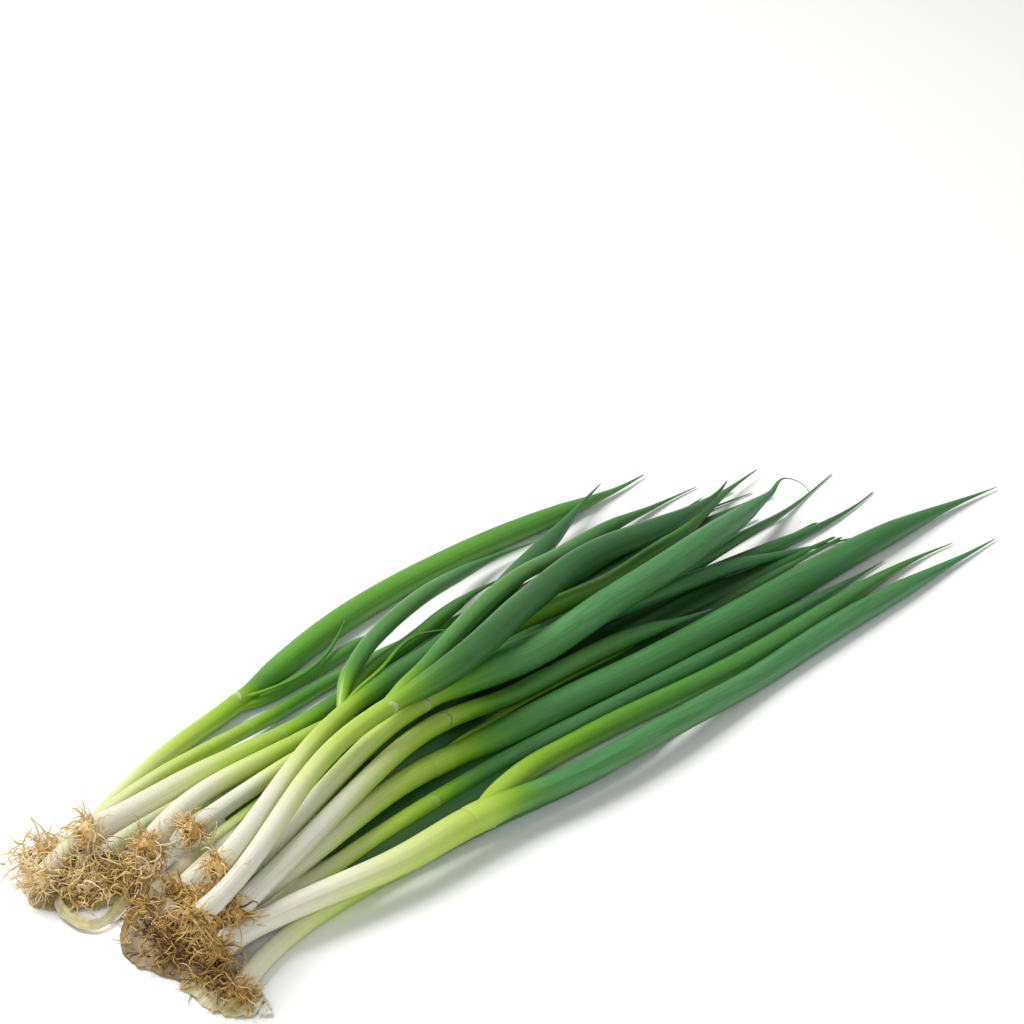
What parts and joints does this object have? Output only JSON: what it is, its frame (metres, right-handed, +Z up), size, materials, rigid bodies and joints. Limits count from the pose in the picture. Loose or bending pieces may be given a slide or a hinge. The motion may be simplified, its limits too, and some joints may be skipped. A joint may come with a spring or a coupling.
{
  "type": "spring onion bunch",
  "caption": "Loose bunch of fresh spring onions lying down: white shanks with root tufts at one end, long tapering hollow green leaves fanning out to the other.",
  "frame": {"origin": "middle of the bunch's box in X and Y, on the surface that it lies on", "axes": "+X along the bunch from the roots to the leaf tips, +Y across it to the left, +Z up"},
  "size_m": [0.4454, 0.1464, 0.0381],
  "materials": {
    "shank": "waxy white skin turning pale green, satin",
    "leaf": "green leaf with a faint bluish bloom and fine ribs, satin",
    "roots": "dry tan root threads, matt"
  },
  "bodies": {
    "root": {"leaf_01_1": "leaf", "leaf_01_2": "leaf", "leaf_01_3": "leaf", "leaf_02_1": "leaf", "leaf_03_1": "leaf", "leaf_04_1": "leaf", "leaf_05_1": "leaf", "leaf_06_1": "leaf", "leaf_07_1": "leaf", "leaf_07_2": "leaf", "leaf_08_1": "leaf", "leaf_09_1": "leaf", "leaf_10_1": "leaf", "leaf_11_1": "leaf", "leaf_11_2": "leaf", "leaf_12_1": "leaf", "leaf_12_2": "leaf", "leaf_13_1": "leaf", "leaf_14_1": "leaf", "leaf_14_2": "leaf", "leaf_15_1": "leaf", "leaf_15_2": "leaf", "leaf_16_1": "leaf", "leaf_16_2": "leaf", "leaf_16_3": "leaf", "leaf_16_4": "leaf", "roots_01": "roots", "roots_02": "roots", "roots_03": "roots", "roots_04": "roots", "roots_05": "roots", "roots_06": "roots", "roots_07": "roots", "roots_08": "roots", "roots_09": "roots", "roots_10": "roots", "roots_11": "roots", "roots_12": "roots", "roots_13": "roots", "roots_14": "roots", "roots_15": "roots", "roots_16": "roots", "shank_01": "shank", "shank_02": "shank", "shank_03": "shank", "shank_04": "shank", "shank_05": "shank", "shank_06": "shank", "shank_07": "shank", "shank_08": "shank", "shank_09": "shank", "shank_10": "shank", "shank_11": "shank", "shank_12": "shank", "shank_13": "shank", "shank_14": "shank", "shank_15": "shank", "shank_16": "shank"}
  },
  "joints": []
}
